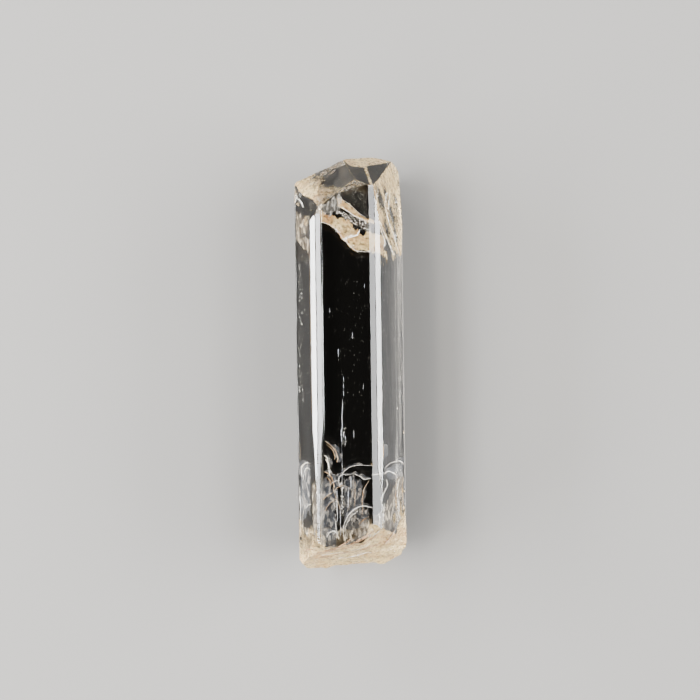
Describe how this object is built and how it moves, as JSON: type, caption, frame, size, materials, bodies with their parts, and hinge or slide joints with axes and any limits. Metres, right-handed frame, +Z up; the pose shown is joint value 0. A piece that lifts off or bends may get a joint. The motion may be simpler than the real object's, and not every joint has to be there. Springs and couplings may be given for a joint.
{
  "type": "phenakite crystal",
  "caption": "Clear six-sided prism crystal lying on a prism face, with bevelled long edges, a blunt half-etched natural end and a rough broken end.",
  "frame": {"origin": "middle of the footprint, on the surface that the crystal rests on", "axes": "+Y along the prism towards the natural end, +X to the side with the broad right face, +Z up out of the broad top face"},
  "size_m": [0.0062, 0.0238, 0.005],
  "materials": {
    "clear_crystal": "water-clear polished natural faces with a very faint champagne tint"
  },
  "bodies": {
    "root": {"phenakite_crystal": "clear_crystal"}
  },
  "joints": []
}
